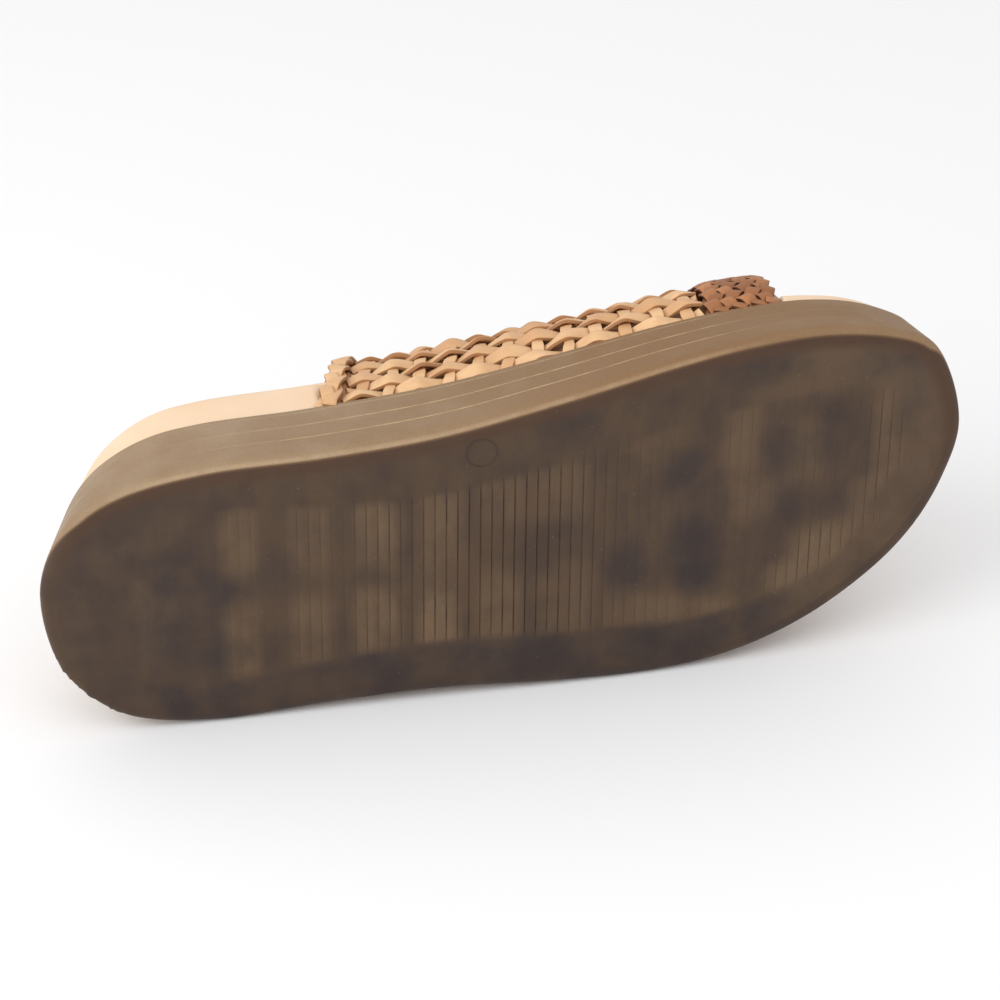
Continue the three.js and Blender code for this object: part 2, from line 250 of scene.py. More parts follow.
# Meshes: values painted on their points, and angles in degrees from which an edge is shaded sharp
SOLE_PAINT = ("wall", "wall_line", "light", "dark", "tread_line", "rim")
STRIP_PAINT = ("tone", "rim")
SOLE_SHARP = 38
FOOTBED_SHARP = 40
WEAVE_SHARP = 45
# How far columns and stations are drawn towards their ends, and the columns of a face that is hidden
CAP_CROWDING = 0.6
FOOTBED_CROWDING = 0.8
HIDDEN_COLUMNS = 4
# Points whose distances are measured at once, to save memory
DISTANCE_BATCH = 2000

# How the shoe lies, in degrees
LEVEL_TURN = 1.461
LEAN = 1.324

# Camera, floor and lights: places and sizes in metres, the lens in millimetres, the roll in degrees
CAMERA_AT = (-0.11602, -0.74115, 0.46147)
CAMERA_TARGET = (0.00068, -0.02005, 0.04527)
CAMERA_ROLL = -1.22
CAMERA_LENS = 115.35
SENSOR = 36.0
FLOOR_SIZE = 8
WORLD_STRENGTH = 0.8
LIGHTS = {
    "key": {"at": (-1.1, -0.5, 0.8), "target": (0, 0, 0), "size": 1.2, "power": 10},
    "fill": {"at": (0.2, -1.2, 1.4), "target": (0.05, 0, 0), "size": 1.4, "power": 6},
}

# Colours as seen in plain light, from 0 to 255, except for the painted light and shade noted at some of
# them
# WALL and TREAD: the wall is paler and the tread darker partly in the rubber itself and partly as painted
# light on the up-facing wall and painted shade on the tread
WALL = (159, 135, 107)
WALL_DEEP = (131, 98, 64)
WALL_LINE = (200, 173, 138)
TREAD = (78, 59, 42)
TREAD_PALE = (116, 92, 66)
TREAD_DARK = (46, 37, 37)
# GROOVE_DARK paints the tread's grooves dark, as shade in them, and also darkens the rubber's fine grain
GROOVE_DARK = (56, 42, 32)
# RIM is the painted glow of light through the rubber's translucent edge
RIM = (74, 49, 32)
FOOTBED_PALE = (238, 209, 178)
FOOTBED_DEEP = (231, 198, 163)
TAN_PALE = (229, 187, 141)
TAN_DEEP = (208, 159, 113)
# Edge colours paint the strips' cut edges: partly the raw leather's own darker colour, partly painted
# shade
TAN_EDGE = (164, 116, 76)
BROWN_PALE = (190, 129, 84)
BROWN_DEEP = (146, 94, 58)
# BROWN_EDGE is dark enough to paint the shade in the front braid's slits
BROWN_EDGE = (66, 36, 18)
FLOOR = (246, 246, 247)


# Curves and steps
def lerp(start, end, share):
    """The value at a share of the way from start to end."""
    return start + (end - start) * share


def hermite(share, start, end, start_slope, end_slope):
    """A cubic curve from start to end, with its slope at both."""
    reached = start * (2 * share**3 - 3 * share**2 + 1) + end * (3 * share**2 - 2 * share**3)
    return reached + start_slope * (share**3 - 2 * share**2 + share) + end_slope * (share**3 - share**2)


def smooth(table, column):
    """A curve through one column of a table, as a function of the place in its first column."""
    places, values = np.array(table, float)[:, [0, column]].T
    steps = np.diff(places)
    secants = np.diff(values) / steps
    slopes = np.concatenate([secants[:1], (secants[1:] + secants[:-1]) / 2, secants[-1:]])

    def curve(place):
        held = np.clip(place, places[0], places[-1])
        row = np.clip(np.searchsorted(places, held, side="right") - 1, 0, len(steps) - 1)
        share = (held - places[row]) / steps[row]
        return hermite(
            share, values[row], values[row + 1], slopes[row] * steps[row], slopes[row + 1] * steps[row],
        )

    return curve


def fade(value, low, high):
    """0 below low, 1 above high and a soft step between."""
    share = np.clip((value - low) / (high - low), 0, 1)
    return share * share * (3 - 2 * share)


def between(value, ends):
    """1 in the middle of a stretch, with a soft step at each of its ends."""
    return fade(value, *ends[:2]) * (1 - fade(value, *ends[2:]))


def crowded(shares, strength):
    """Even shares from 0 to 1, drawn towards both ends."""
    return lerp(shares, (1 - np.cos(np.pi * shares)) / 2, strength)


def unit(vectors):
    """The same directions with a length of 1."""
    return vectors / np.linalg.norm(vectors, axis=-1, keepdims=True)


def headings(loop):
    """The direction of travel at each point of a closed loop."""
    return unit(np.roll(loop, -1, axis=0) - np.roll(loop, 1, axis=0))


def step_lengths(path):
    """Distances from each point of a path to the next."""
    return np.linalg.norm(np.diff(path, axis=0), axis=1)


def distance_to(ring, points):
    """Distance in plan from each point to the nearest point of a ring."""
    nearest = np.empty(len(points))
    for start in range(0, len(points), DISTANCE_BATCH):
        batch = slice(start, start + DISTANCE_BATCH)
        apart = points[batch, None, :2] - ring[None, :, :2]
        nearest[batch] = np.sqrt((apart**2).sum(-1).min(1))
    return nearest


deck_height = smooth(DECK, 1)
footbed_edge = smooth(FOOTBED, 1)
outer_reach = smooth(OUTLINE, 1)
inner_reach = smooth(OUTLINE, 2)
wall_tone = smooth(WALL_TONE, 1)
border_tone = smooth(BORDER_TONE, 1)
border_outer = smooth(BORDER, 1)
border_inner = smooth(BORDER, 2)
groove_between = smooth(GROOVE_WEAR, 1)
groove_on_patch = smooth(GROOVE_WEAR, 2)
crown_height = smooth(BAND, 1)
inner_round = smooth(BAND, 2)
outer_round = smooth(BAND, 3)


# Outline of the platform, and rings drawn from it
def outline_loop():
    """The closed outline, heel tip to toe tip on the outer side and back on the inner side."""
    outer = [(along, out) for along, out, _ in OUTLINE]
    inner = [(along, -inn) for along, _, inn in reversed(OUTLINE)]
    points = np.array([HEEL_TIP, *outer, TOE_TIP, *inner], float)
    neighbours = [np.roll(points, shift, axis=0) for shift in (1, 0, -1, -2)]
    shares = np.arange(LOOP_STEPS)[:, None] / LOOP_STEPS
    loop = []
    for before, start, end, after in zip(*neighbours):
        pairs = (before, start), (start, end), (end, after)
        lead, span, tail = (math.sqrt(np.linalg.norm(second - first)) for first, second in pairs)
        leaving = (start - before) / lead - (end - before) / (lead + span) + (end - start) / span
        arriving = (end - start) / span - (after - start) / (span + tail) + (after - end) / tail
        loop.append(hermite(shares, start, end, leaving * span, arriving * span))
    return np.concatenate(loop)


def sole_stations():
    """Stations crowded towards the two round ends, with the grooves' own edges between them."""
    length = TOE_TIP[0] - HEEL_TIP[0] - 2 * TREAD_INSET
    start = HEEL_TIP[0] + TREAD_INSET
    heel_end = np.linspace(0, 1, END_STEPS + 1) ** 2 * (GROOVE_FIRST - 2 * GROOVE_HALF - start)
    centres = GROOVE_FIRST + GROOVE_PITCH * np.arange(GROOVE_COUNT) - start
    marks = [centres - GROOVE_HALF, centres, centres + GROOVE_HALF, centres + GROOVE_PITCH / 2]
    last = centres[-1] + GROOVE_PITCH / 2
    toe_end = length - np.linspace(1, 0, END_STEPS + 1)[1:] ** 2 * (length - last)
    return np.concatenate([heel_end, np.sort(np.concatenate(marks)), toe_end]) / length


LOOP = outline_loop()
HALF_LOOP = len(LOOP) // 2
LOOP_OUTWARD = headings(LOOP)[:, ::-1] * (-1, 1)
SHREDS = np.random.default_rng(RAGGED["seed"]).uniform(0, 1, len(LOOP)) ** RAGGED["power"]
STATIONS = sole_stations()


def tread_height(along):
    """The tread is flat from the heel to the ball, and springs up to the toe."""
    share = np.maximum(0, (along - SPRING_START) / (TOE_TIP[0] - SPRING_START))
    return TOE_SPRING * share**2


def end_rake(along, rise):
    """How far the ends of the heel and the toe have leaned in at a rise."""
    heel = HEEL_RAKE * fade(-along, -HEEL_RAKE_START, -HEEL_TIP[0])
    toe = TOE_RAKE * fade(along, TOE_RAKE_START, TOE_TIP[0])
    return (heel + toe) * rise


def ring_of(inset, stations):
    """The outline drawn in by a distance, resampled so that both sides have the same stations."""
    moved = LOOP - LOOP_OUTWARD * inset[:, None]
    outer = moved[: HALF_LOOP + 1]
    inner = np.concatenate([moved[:1], moved[:HALF_LOOP - 1:-1]])
    along = lerp(outer[0, 0], outer[-1, 0], stations)
    out = np.interp(along, outer[:, 0], outer[:, 1])
    inn = np.interp(along, inner[:, 0], inner[:, 1])
    there = np.stack([along, out], 1)
    back = np.stack([along, inn], 1)[-2:0:-1]
    return np.concatenate([there, back])


def raised(plan, height):
    """Points of a plan, each at its height."""
    return np.column_stack([plan, np.broadcast_to(height, len(plan))])


def at_rise(ring, rise):
    """A ring of the platform at its rise."""
    along = ring[:, 0]
    return raised(ring, lerp(tread_height(along), deck_height(along), rise))


def cap_rows(ring, columns):
    """Points in plan between the paired sides of a ring, station by station."""
    half = len(ring) // 2
    share = crowded(np.arange(1, columns) / columns, CAP_CROWDING)
    outer = ring[1:half, :2]
    inner = ring[:half:-1, :2]
    rows = outer[:, None] + (inner - outer)[:, None] * share[None, :, None]
    return rows.reshape(-1, 2)


# Place of the shoe in the part
def lying_turn():
    """Lays the standing shoe on its outer side, turned so that heel and ball both meet the floor."""
    level = Matrix.Rotation(math.radians(LEVEL_TURN), 3, "Z")
    return np.array(Matrix.Rotation(math.radians(LEAN - 90), 3, "X") @ level)


def lying_shift():
    """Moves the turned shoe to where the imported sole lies."""
    rings = []
    for rise, inset in ((0, TREAD_INSET), (WIDEST_RISE, WALL_DRAFT * WIDEST_RISE), (1, WALL_DRAFT)):
        ring = ring_of(inset + end_rake(LOOP[:, 0], rise), STATIONS)
        rings.append(at_rise(ring, rise) @ TURN.T)
    turned = np.concatenate(rings)
    low, high = (np.array(corner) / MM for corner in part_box("sole"))
    shift = (low + high) / 2 - (turned.min(0) + turned.max(0)) / 2
    shift[2] = low[2] - turned[:, 2].min()
    return shift


TURN = lying_turn()
SHIFT = lying_shift()


class Builder:
    """Collects points, faces and painted values of one mesh. A value that isn't given is 0."""

    def __init__(self, *labels):
        self.points = []
        self.faces = []
        self.paint = {label: [] for label in labels}
        self.count = 0

    def add(self, points, **paint):
        """Adds points and their painted values, and gives the number of the first point."""
        points = np.asarray(points, float).reshape(-1, 3)
        first = self.count
        self.points.append(points)
        for label, values in self.paint.items():
            values.append(np.broadcast_to(paint.get(label, 0), len(points)).astype(float))
        self.count += len(points)
        return first

    def join(self, starts, size):
        """Quads from each closed ring to the next."""
        for low, high in zip(starts, starts[1:]):
            for i in range(size):
                following = (i + 1) % size
                self.faces.append((low + i, high + i, high + following, low + following))

    def tube(self, first, rings, size):
        """Quads along a row of rings, with its two ends closed."""
        starts = range(first, first + rings * size, size)
        last = starts[-1]
        self.join(starts, size)
        self.faces.append(tuple(range(first, first + size)))
        self.faces.append(tuple(range(last + size - 1, last - 1, -1)))

    def cap(self, ring, size, inner, columns, upward):
        """Fills a ring whose points pair up across it; inner is the first point between the pairs."""
        half = size // 2

        def index(station, column):
            if column == 0:
                return ring + station
            if column == columns:
                return ring + size - station
            return inner + (station - 1) * (columns - 1) + column - 1

        def face(*corners):
            self.faces.append(corners if upward else corners[::-1])

        for column in range(columns):
            face(ring, index(1, column + 1), index(1, column))
            face(index(half - 1, column), index(half - 1, column + 1), ring + half)
            for station in range(1, half - 1):
                near = index(station, column), index(station, column + 1)
                far = index(station + 1, column + 1), index(station + 1, column)
                face(*near, *far)

    def make(self, name, sharp=None):
        """The mesh as an object in the part's place, with nothing below the floor."""
        placed = (np.concatenate(self.points) @ TURN.T + SHIFT) * MM
        placed[:, 2] = np.maximum(placed[:, 2], 0)
        mesh = bpy.data.meshes.new(name)
        mesh.from_pydata(placed, [], self.faces)
        for label, values in self.paint.items():
            layer = mesh.attributes.new(label, "FLOAT", "POINT")
            layer.data.foreach_set("value", np.concatenate(values).astype(np.float32))
        mesh.shade_smooth()
        if sharp is not None:
            mesh.set_sharp_from_angle(angle=math.radians(sharp))
        made = bpy.data.objects.new(name, mesh)
        bpy.context.scene.collection.objects.link(made)
        return made


# Sole
def wall_section():
    """The platform's side from the tread's edge up: rise, inset and groove."""
    rows = []
    for step in range(EDGE_STEPS + 1):
        turn = math.pi / 2 * step / EDGE_STEPS
        rise = EDGE_RISE * (1 - max(0, math.cos(turn)) ** (2 / EDGE_ROUND))
        rows.append((rise, TREAD_INSET * (1 - math.sin(turn) ** (2 / EDGE_ROUND)), 0))
    rows.append((WALL_START_RISE, 0, 0))
    for rise, strength in WALL_GROOVES:
        for place, depth in WALL_GROOVE_SECTION:
            rows.append((rise + place * WALL_GROOVE_HALF, 0, depth * strength))
    rows += [(WALL_END_RISE, 0, 0), (1.0, DECK_CHAMFER, 0)]
    return rows


def groove_shows(along):
    """The grooves of the wall run out towards the heel and the toe."""
    return lerp(WALL_GROOVE_LEAST, 1, between(along, WALL_GROOVE_ENDS))


def heel_grooves(along):
    """The grooves show again round the heel: there they are cut full depth and painted dark as shade in
    them.
    """
    return 1 - fade(along, *HEEL_GROOVE_ENDS)


def ragged_edge(rise):
    """How far shreds of rubber stand out of the heel's edge, which is ragged with wear."""
    along, across = LOOP.T
    where = between(along, RAGGED["ends"]) * (across > 0) * (1 - fade(rise, *RAGGED["rise"]))
    return RAGGED["reach"] * where * np.clip(SHREDS - RAGGED["least"], 0, 1)


def rim_of(inside, across):
    """The painted warm glow of light through the rubber at a distance inside the bottom edge."""
    faded = 1 - fade(inside, *RIM_GLOW["inside"])
    return faded * lerp(RIM_GLOW["least"], 1, fade(-across, *RIM_GLOW["across"]))


def inner_facing(ring):
    """1 where a ring faces the inner side and 0 at its ends and on the outer side."""
    return fade(-headings(ring)[:, 0], *INNER_FACING)


def outer_shade(points):
    """The border is darker along the outer side, from the heel as far as the ball."""
    along, across = points.T
    outward = fade(across, *OUTER_SHADE["across"])
    return OUTER_SHADE["strength"] * between(along, OUTER_SHADE["ends"]) * outward


def soft_spots(points, table, power, low, high):
    """How strongly the soft rounded spots of a table cover each point."""
    clear = np.ones(len(points))
    for along, across, half_length, half_width, strength in table:
        away = np.abs(points - (along, across)) / (half_length, half_width)
        reach = (away**power).sum(axis=1) ** (1 / power)
        clear *= 1 - strength * (1 - fade(reach, low, high))
    return 1 - clear


def wall_paint(ring, rise, groove):
    """Painted values of one ring of the platform's side."""
    along, across = ring.T
    inner = inner_facing(ring)
    low, high = (lerp(*ends, inner) for ends in zip(COLOUR_TURN["outer"], COLOUR_TURN["inner"]))
    wall = fade(rise, low, high)
    # Pale line along the bottom edge of the up-facing inner side: wear and a painted highlight
    worn_and_highlight = EDGE_WEAR_AND_HIGHLIGHT["strength"] * inner * between(along, EDGE_WEAR_AND_HIGHLIGHT["ends"])
    worn_and_highlight *= between(rise, EDGE_WEAR_AND_HIGHLIGHT["rise"])
    return {
        "wall": wall,
        "wall_line": groove * groove_shows(along) + worn_and_highlight,
        # Round the heel the grooves are painted towards the deep wall colour: painted shade in them
        "light": wall * wall_tone(along) * (1 - groove * heel_grooves(along)),
        "dark": outer_shade(ring),
        "rim": rim_of(0, across),
    }


def add_wall(sole):
    """The platform's side; gives its rings from the bottom up, and the first point of each."""
    along = LOOP[:, 0]
    shown = np.maximum(groove_shows(along), heel_grooves(along))
    rings = []
    starts = []
    for rise, inset, groove in wall_section():
        drawn_in = inset + WALL_DRAFT * rise + end_rake(along, rise)
        drawn_in += WALL_GROOVE_DEPTH * groove * shown - ragged_edge(rise)
        ring = ring_of(drawn_in, STATIONS)
        rings.append(ring)
        starts.append(sole.add(at_rise(ring, rise), **wall_paint(ring, rise, groove)))
    sole.join(starts, len(ring))
    return rings, starts


def add_tread(sole, edge, start):
    """The bottom inside its edge ring, with fine grooves, pale patches and stains."""
    tread = cap_rows(edge, TREAD_COLUMNS)
    along, across = tread.T
    inside = distance_to(edge, tread)
    width = np.where(across > 0, border_outer(along), border_inner(along))
    field = fade(inside, width - BORDER_SOFTNESS, width + BORDER_SOFTNESS)
    dark = np.maximum(soft_spots(tread, STAINS, **STAIN_EDGE), outer_shade(tread) * (1 - field))
    pale = soft_spots(tread, PATCHES, **PATCH_EDGE)
    phase = (along - GROOVE_FIRST + GROOVE_PITCH / 2) % GROOVE_PITCH - GROOVE_PITCH / 2
    groove = np.clip(1 - np.abs(phase) / GROOVE_HALF, 0, 1) * field
    groove *= lerp(groove_between(along), groove_on_patch(along), pale) * (1 - STAIN_COVER * dark)
    inner = sole.add(
        raised(tread, tread_height(along) + GROOVE_DEPTH * groove),
        light=lerp(border_tone(along), pale, field),
        dark=dark,
        tread_line=groove,
        rim=rim_of(inside, across),
    )
    sole.cap(start, len(edge), inner, TREAD_COLUMNS, upward=False)


def add_ring_mark(sole):
    """A plain raised ring on the waist of the tread, painted darker as shade along its relief."""
    steps = RING_MARK["steps"]
    angle = 2 * math.pi * np.arange(steps) / steps
    starts = []
    for side, up in RING_SECTION:
        reach = RING_MARK["radius"] - side * RING_MARK["half"]
        along = RING_MARK["along"] + reach * np.cos(angle)
        across = RING_MARK["across"] + reach * np.sin(angle)
        height = tread_height(along) - RING_MARK["height"] * up
        starts.append(sole.add(np.column_stack([along, across, height]), dark=RING_MARK["dark"]))
    sole.join(starts + starts[:1], steps)


def add_deck(sole, edge, start):
    """The top of the platform inside its edge ring, which the footbed hides."""
    deck = cap_rows(edge, HIDDEN_COLUMNS)
    inner = sole.add(raised(deck, deck_height(deck[:, 0])), wall=1, light=DECK_TONE)
    sole.cap(start, len(edge), inner, HIDDEN_COLUMNS, upward=True)


def make_sole():
    """The moulded platform, closed all round."""
    sole = Builder(*SOLE_PAINT)
    rings, starts = add_wall(sole)
    add_tread(sole, rings[0], starts[0])
    add_ring_mark(sole)
    add_deck(sole, rings[-1], starts[-1])
    return sole.make("platform_sole", SOLE_SHARP)


# Footbed
def footbed_inset(points, height):
    """The footbed steps in where the band, whose rear edge leans forward, runs down outside it."""
    along, across = points.T
    outer = across > 0
    rear = np.where(outer, BAND_REAR["outer"], BAND_REAR["inner"])
    front = np.where(outer, BAND_FRONT["outer"], BAND_FRONT["inner"])
    starts = fade(along - STEP_LEAN * height - rear, *REAR_STEP)
    ends = fade(along - front, *FRONT_STEP)
    return lerp(FOOTBED_INSET, BAND_INSET + BAND_WALL + BAND_CLEARANCE, starts * (1 - ends))


def footbed_ring(stations, inset, below=None):
    """A ring of the footbed's side, at a distance below its top edge or, without one, at the deck."""
    along = LOOP[:, 0]
    height = 0 if below is None else footbed_edge(along) - below
    ring = ring_of(footbed_inset(LOOP, height) + end_rake(along, FOOTBED_RAKE_RISE) + inset, stations)
    along = ring[:, 0]
    height = SEAT_GAP if below is None else footbed_edge(along) - below
    return raised(ring, deck_height(along) + height)


def make_footbed():
    """The leather footbed: its side, its rounded and dished top, and its underside."""
    footbed = Builder()
    stations = crowded(np.linspace(0, 1, FOOTBED_STATIONS), FOOTBED_CROWDING)
    rings = [footbed_ring(stations, FOOTBED_UNDERCUT), footbed_ring(stations, 0, FOOTBED_ROUND)]
    for step in range(1, ROUND_STEPS + 1):
        turn = math.pi / 2 * step / ROUND_STEPS
        inset = FOOTBED_ROUND * (1 - math.cos(turn))
        rings.append(footbed_ring(stations, inset, FOOTBED_ROUND * (1 - math.sin(turn))))
    bottom, edge = rings[0], rings[-1]
    starts = [footbed.add(ring) for ring in rings]
    footbed.join(starts, len(edge))

    top = cap_rows(edge, DISH_COLUMNS)
    dip = DISH_DEPTH * fade(distance_to(edge, top), 0, DISH_REACH)
    inner = footbed.add(raised(top, deck_height(top[:, 0]) + footbed_edge(top[:, 0]) - dip))
    footbed.cap(starts[-1], len(edge), inner, DISH_COLUMNS, upward=True)

    under = cap_rows(bottom, HIDDEN_COLUMNS)
    inner = footbed.add(raised(under, deck_height(under[:, 0]) + SEAT_GAP))
    footbed.cap(starts[0], len(bottom), inner, HIDDEN_COLUMNS, upward=False)
    return footbed.make("leather_footbed", FOOTBED_SHARP)


# Surface of the band
def edge_along(edge, angle):
    """Where an edge of the band lies along the shoe, from the inner side over the crown."""
    base = lerp(edge["inner"], edge["outer"], (1 - np.cos(angle)) / 2)
    middle = (edge["inner"] + edge["outer"]) / 2
    return base + (edge["crown"] - middle) * np.sin(angle)


def band_point(share, angle):
    """The band's middle surface: share of its length, and angle from the inner to the outer side."""
    along = lerp(edge_along(BAND_REAR, angle), edge_along(BAND_FRONT, angle), share)
    inner = BAND_INSET - inner_reach(along)
    outer = outer_reach(along) - BAND_INSET
    ridge = lerp(inner, outer, RIDGE_SHARE)
    on_inner = angle < math.pi / 2
    power = 2 / np.where(on_inner, inner_round(along), outer_round(along))
    climb = np.clip(np.where(on_inner, angle, math.pi - angle), 0, math.pi / 2)
    bulge = np.sin(math.pi * (climb / (math.pi / 2)) ** BULGE_SKEW)
    reach = np.maximum(np.cos(climb), 0) ** power
    across = np.where(
        on_inner,
        lerp(ridge, inner, reach) - BULGE_INNER * bulge,
        lerp(ridge, outer, reach) + BULGE_OUTER * bulge,
    )
    height = crown_height(along) * np.sin(climb) ** power
    return np.stack([along, across, deck_height(along) + SEAT_GAP + height], -1)


def band_surface():
    """Grid of the band's points and outward normals, even along its length and along each arch."""
    fine = np.linspace(0, math.pi, ARCH_SAMPLES + 1)
    even = np.linspace(0, 1, ARCH_CELLS + 1)
    rows = []
    for share in np.linspace(0, 1, LENGTH_CELLS + 1):
        arch = band_point(np.full_like(fine, share), fine)
        lengths = np.concatenate([[0], np.cumsum(step_lengths(arch))])
        angles = np.interp(even * lengths[-1], lengths, fine)
        rows.append(band_point(np.full_like(angles, share), angles))
    grid = np.array(rows)
    return grid, unit(np.cross(np.gradient(grid, axis=0), np.gradient(grid, axis=1)))


BAND_GRID, BAND_NORMALS = band_surface()
# Measured a quarter of the way over the foot
BAND_LENGTH = step_lengths(BAND_GRID[:, ARCH_CELLS // 4]).sum()


def arch_length(share):
    """Length of the arch over the foot at a share of the band's length."""
    return step_lengths(BAND_GRID[int(round(share * LENGTH_CELLS))]).sum()


def band_value(grid, share, arch):
    """Values of one of the band's grids at shares of its length and arch."""
    length_place = np.clip(share, 0, 1) * LENGTH_CELLS
    arch_place = np.clip(arch, 0, 1) * ARCH_CELLS
    row = np.minimum(length_place.astype(int), LENGTH_CELLS - 1)
    cell = np.minimum(arch_place.astype(int), ARCH_CELLS - 1)
    past_row = (length_place - row)[..., None]
    past_cell = (arch_place - cell)[..., None]
    near = lerp(grid[row, cell], grid[row, cell + 1], past_cell)
    far = lerp(grid[row + 1, cell], grid[row + 1, cell + 1], past_cell)
    return lerp(near, far, past_row)


def on_band(share, arch, lift):
    """Points on the band at shares of its length and arch, lifted off its middle surface."""
    outward = band_value(BAND_NORMALS, share, arch)
    return band_value(BAND_GRID, share, arch) + outward * np.asarray(lift)[..., None]


# Weave and braids
rng = np.random.default_rng(STRIP_SEED)


def drift(places, size):
    """A small seeded wander: a value at every crossing, and smooth between them."""
    knots = np.arange(math.floor(places[0]), math.ceil(places[-1]) + 1)
    return smooth(np.column_stack([knots, rng.uniform(-size, size, len(knots))]), 1)(places)


def strip_tone(places):
    """The shade of one strip, which changes a little along it."""
    return np.clip(rng.uniform(0, 1) + drift(places, TONE_SPREAD), 0, 1)


def zigzag(turns, sharpness):
    """A wave from -1 to 1 with straight arms and rounded turns."""
    return np.arcsin(sharpness * np.cos(2 * math.pi * turns)) / math.asin(sharpness)


def add_strip(builder, share, arch, lift, width, thickness, tone, tilt):
    """A flat strip with cut edges along a line on the band, tilted about that line."""
    centres = on_band(share, arch, lift)
    ahead = np.gradient(centres, axis=0)
    level = unit(np.cross(band_value(BAND_NORMALS, share, arch), ahead))
    upright = unit(np.cross(ahead, level))
    cosine, sine = np.cos(tilt)[:, None], np.sin(tilt)[:, None]
    sideways = (level * cosine + upright * sine) * np.reshape(width, (-1, 1)) / 2
    outward = (upright * cosine - level * sine) * thickness / 2
    points = np.stack([centres + sideways * side + outward * up for side, up in STRIP_SECTION], 1)
    # Cut edges painted darker: partly the leather's own edge, partly painted shade
    rim = [max(0.0, abs(side) - STRIP_EDGE) / (1 - STRIP_EDGE) for side, _ in STRIP_SECTION]
    first = builder.add(points, tone=np.repeat(tone, len(rim)), rim=np.tile(rim, len(centres)))
    builder.tube(first, len(centres), len(STRIP_SECTION))


def weave_line(strip, places, side):
    """Lift, width, wander and tilt along one woven strip, which is over at every second crossing."""
    over = side * zigzag((places - 0.5) / 2, WAVE_SHARPNESS)
    lift = over * strip["wave"] * (1 + drift(places, WAVE_SPREAD))
    width = lerp(strip["under"], strip["over"], (1 + over) / 2) + drift(places, WIDTH_SPREAD)
    return lift, width, drift(places, strip["wander"]), drift(places, strip["tilt"])


def add_lining(builder):
    """The thin lining under the strips, as one closed sheet."""
    steps, width = (cells + 1 for cells in LINING_CELLS)
    share, arch = np.meshgrid(np.linspace(0, 1, steps), np.linspace(0, 1, width), indexing="ij")
    outer = on_band(share, arch, lerp(LINING["rear"], LINING["outer"], fade(share, *LINING["rear_ends"])))
    inner = on_band(share, arch, LINING["inner"] - LINING["sag"] * np.sin(math.pi * arch))
    # The lining is painted dark: painted shade in the gaps between the strips
    first = builder.add(np.concatenate([outer, inner[:, ::-1]], axis=1), tone=1, rim=LINING["shade"])
    size = 2 * width
    starts = range(first, first + steps * size, size)
    last = starts[-1]
    builder.join(starts, size)
    for near in range(width - 1):
        far = size - 1 - near
        builder.faces.append((first + near, first + near + 1, first + far - 1, first + far))
        builder.faces.append((last + far, last + far - 1, last + near + 1, last + near))


def make_weave():
    """The band's strips, lengthwise and then across, and the lining under them."""
    weave = Builder(*STRIP_PAINT)
    columns = np.linspace(0, WEAVE_COLUMNS, WEAVE_COLUMNS * LONG_STRIP["steps"] + 1)
    rows = np.linspace(0, WEAVE_ROWS, WEAVE_ROWS * CROSS_STRIP["steps"] + 1)
    middle_arch = arch_length(0.5)
    for row in range(WEAVE_ROWS):
        lift, width, wander, tilt = weave_line(LONG_STRIP, columns, 1 if row % 2 == 0 else -1)
        share = lerp(*WEAVE, columns / WEAVE_COLUMNS)
        arch = (row + 0.5) / WEAVE_ROWS + wander / middle_arch
        add_strip(weave, share, arch, lift, width, STRIP_THICKNESS, strip_tone(columns), tilt)
    for column in range(WEAVE_COLUMNS):
        lift, width, wander, tilt = weave_line(CROSS_STRIP, rows, -1 if column % 2 == 0 else 1)
        share = lerp(*WEAVE, (column + 0.5) / WEAVE_COLUMNS) + wander / BAND_LENGTH
        arch = rows / WEAVE_ROWS
        add_strip(weave, share, arch, lift, width, STRIP_THICKNESS, strip_tone(rows), tilt)
    add_lining(weave)
    return weave.make("woven_strips", WEAVE_SHARP)


def crossings(phase, strands):
    """How many strands a strand has crossed: all the others on each run from edge to edge."""
    run, place = np.divmod((2 * strands * phase) % (2 * strands), strands)
    crossed = np.interp(place, (0, 1, strands - 1, strands), (0.5, 1, strands - 1, strands - 0.5))
    return crossed + run * (strands - 1)


def make_braid(name, braid):
    """A flat braid: each strand runs from edge to edge and back, over and under by turns."""
    made = Builder(*STRIP_PAINT)
    strands = braid["strands"]
    length = arch_length((braid["from"] + braid["to"]) / 2)
    breadth = (braid["to"] - braid["from"]) * BAND_LENGTH
    period = 2 * breadth * braid["stretch"]
    margin = 0.5 * braid["width"] / breadth
    along = np.arange(0, length + BRAID_STEP, BRAID_STEP)
    for strand in range(strands):
        phase = along / period + strand / strands
        across = lerp(margin, 1 - margin, (1 - zigzag(phase, TURN_SHARPNESS)) / 2)
        edge = np.abs(2 * across - 1) ** PILLOW_POWER
        pillow = braid["pillow"] * (1 - PILLOW_SINK - edge)
        lift = braid["base"] + BRAID_WAVE * np.cos(math.pi * crossings(phase, strands)) + pillow
        tilt = braid["roll"] * edge * np.sign(across - 0.5)
        share = lerp(braid["from"], braid["to"], across)
        tone = strip_tone(along / BRAID_TONE_PITCH)
        add_strip(made, share, along / length, lift, braid["width"], braid["thickness"], tone, tilt)
    return made.make(name)


# Materials
def linear(red, green, blue):
    """A colour given as screen values from 0 to 255, as the shader wants it."""
    parts = np.array([red, green, blue]) / 255
    straight = np.where(parts <= 0.04045, parts / 12.92, ((parts + 0.055) / 1.055) ** 2.4)
    return (*straight, 1.0)


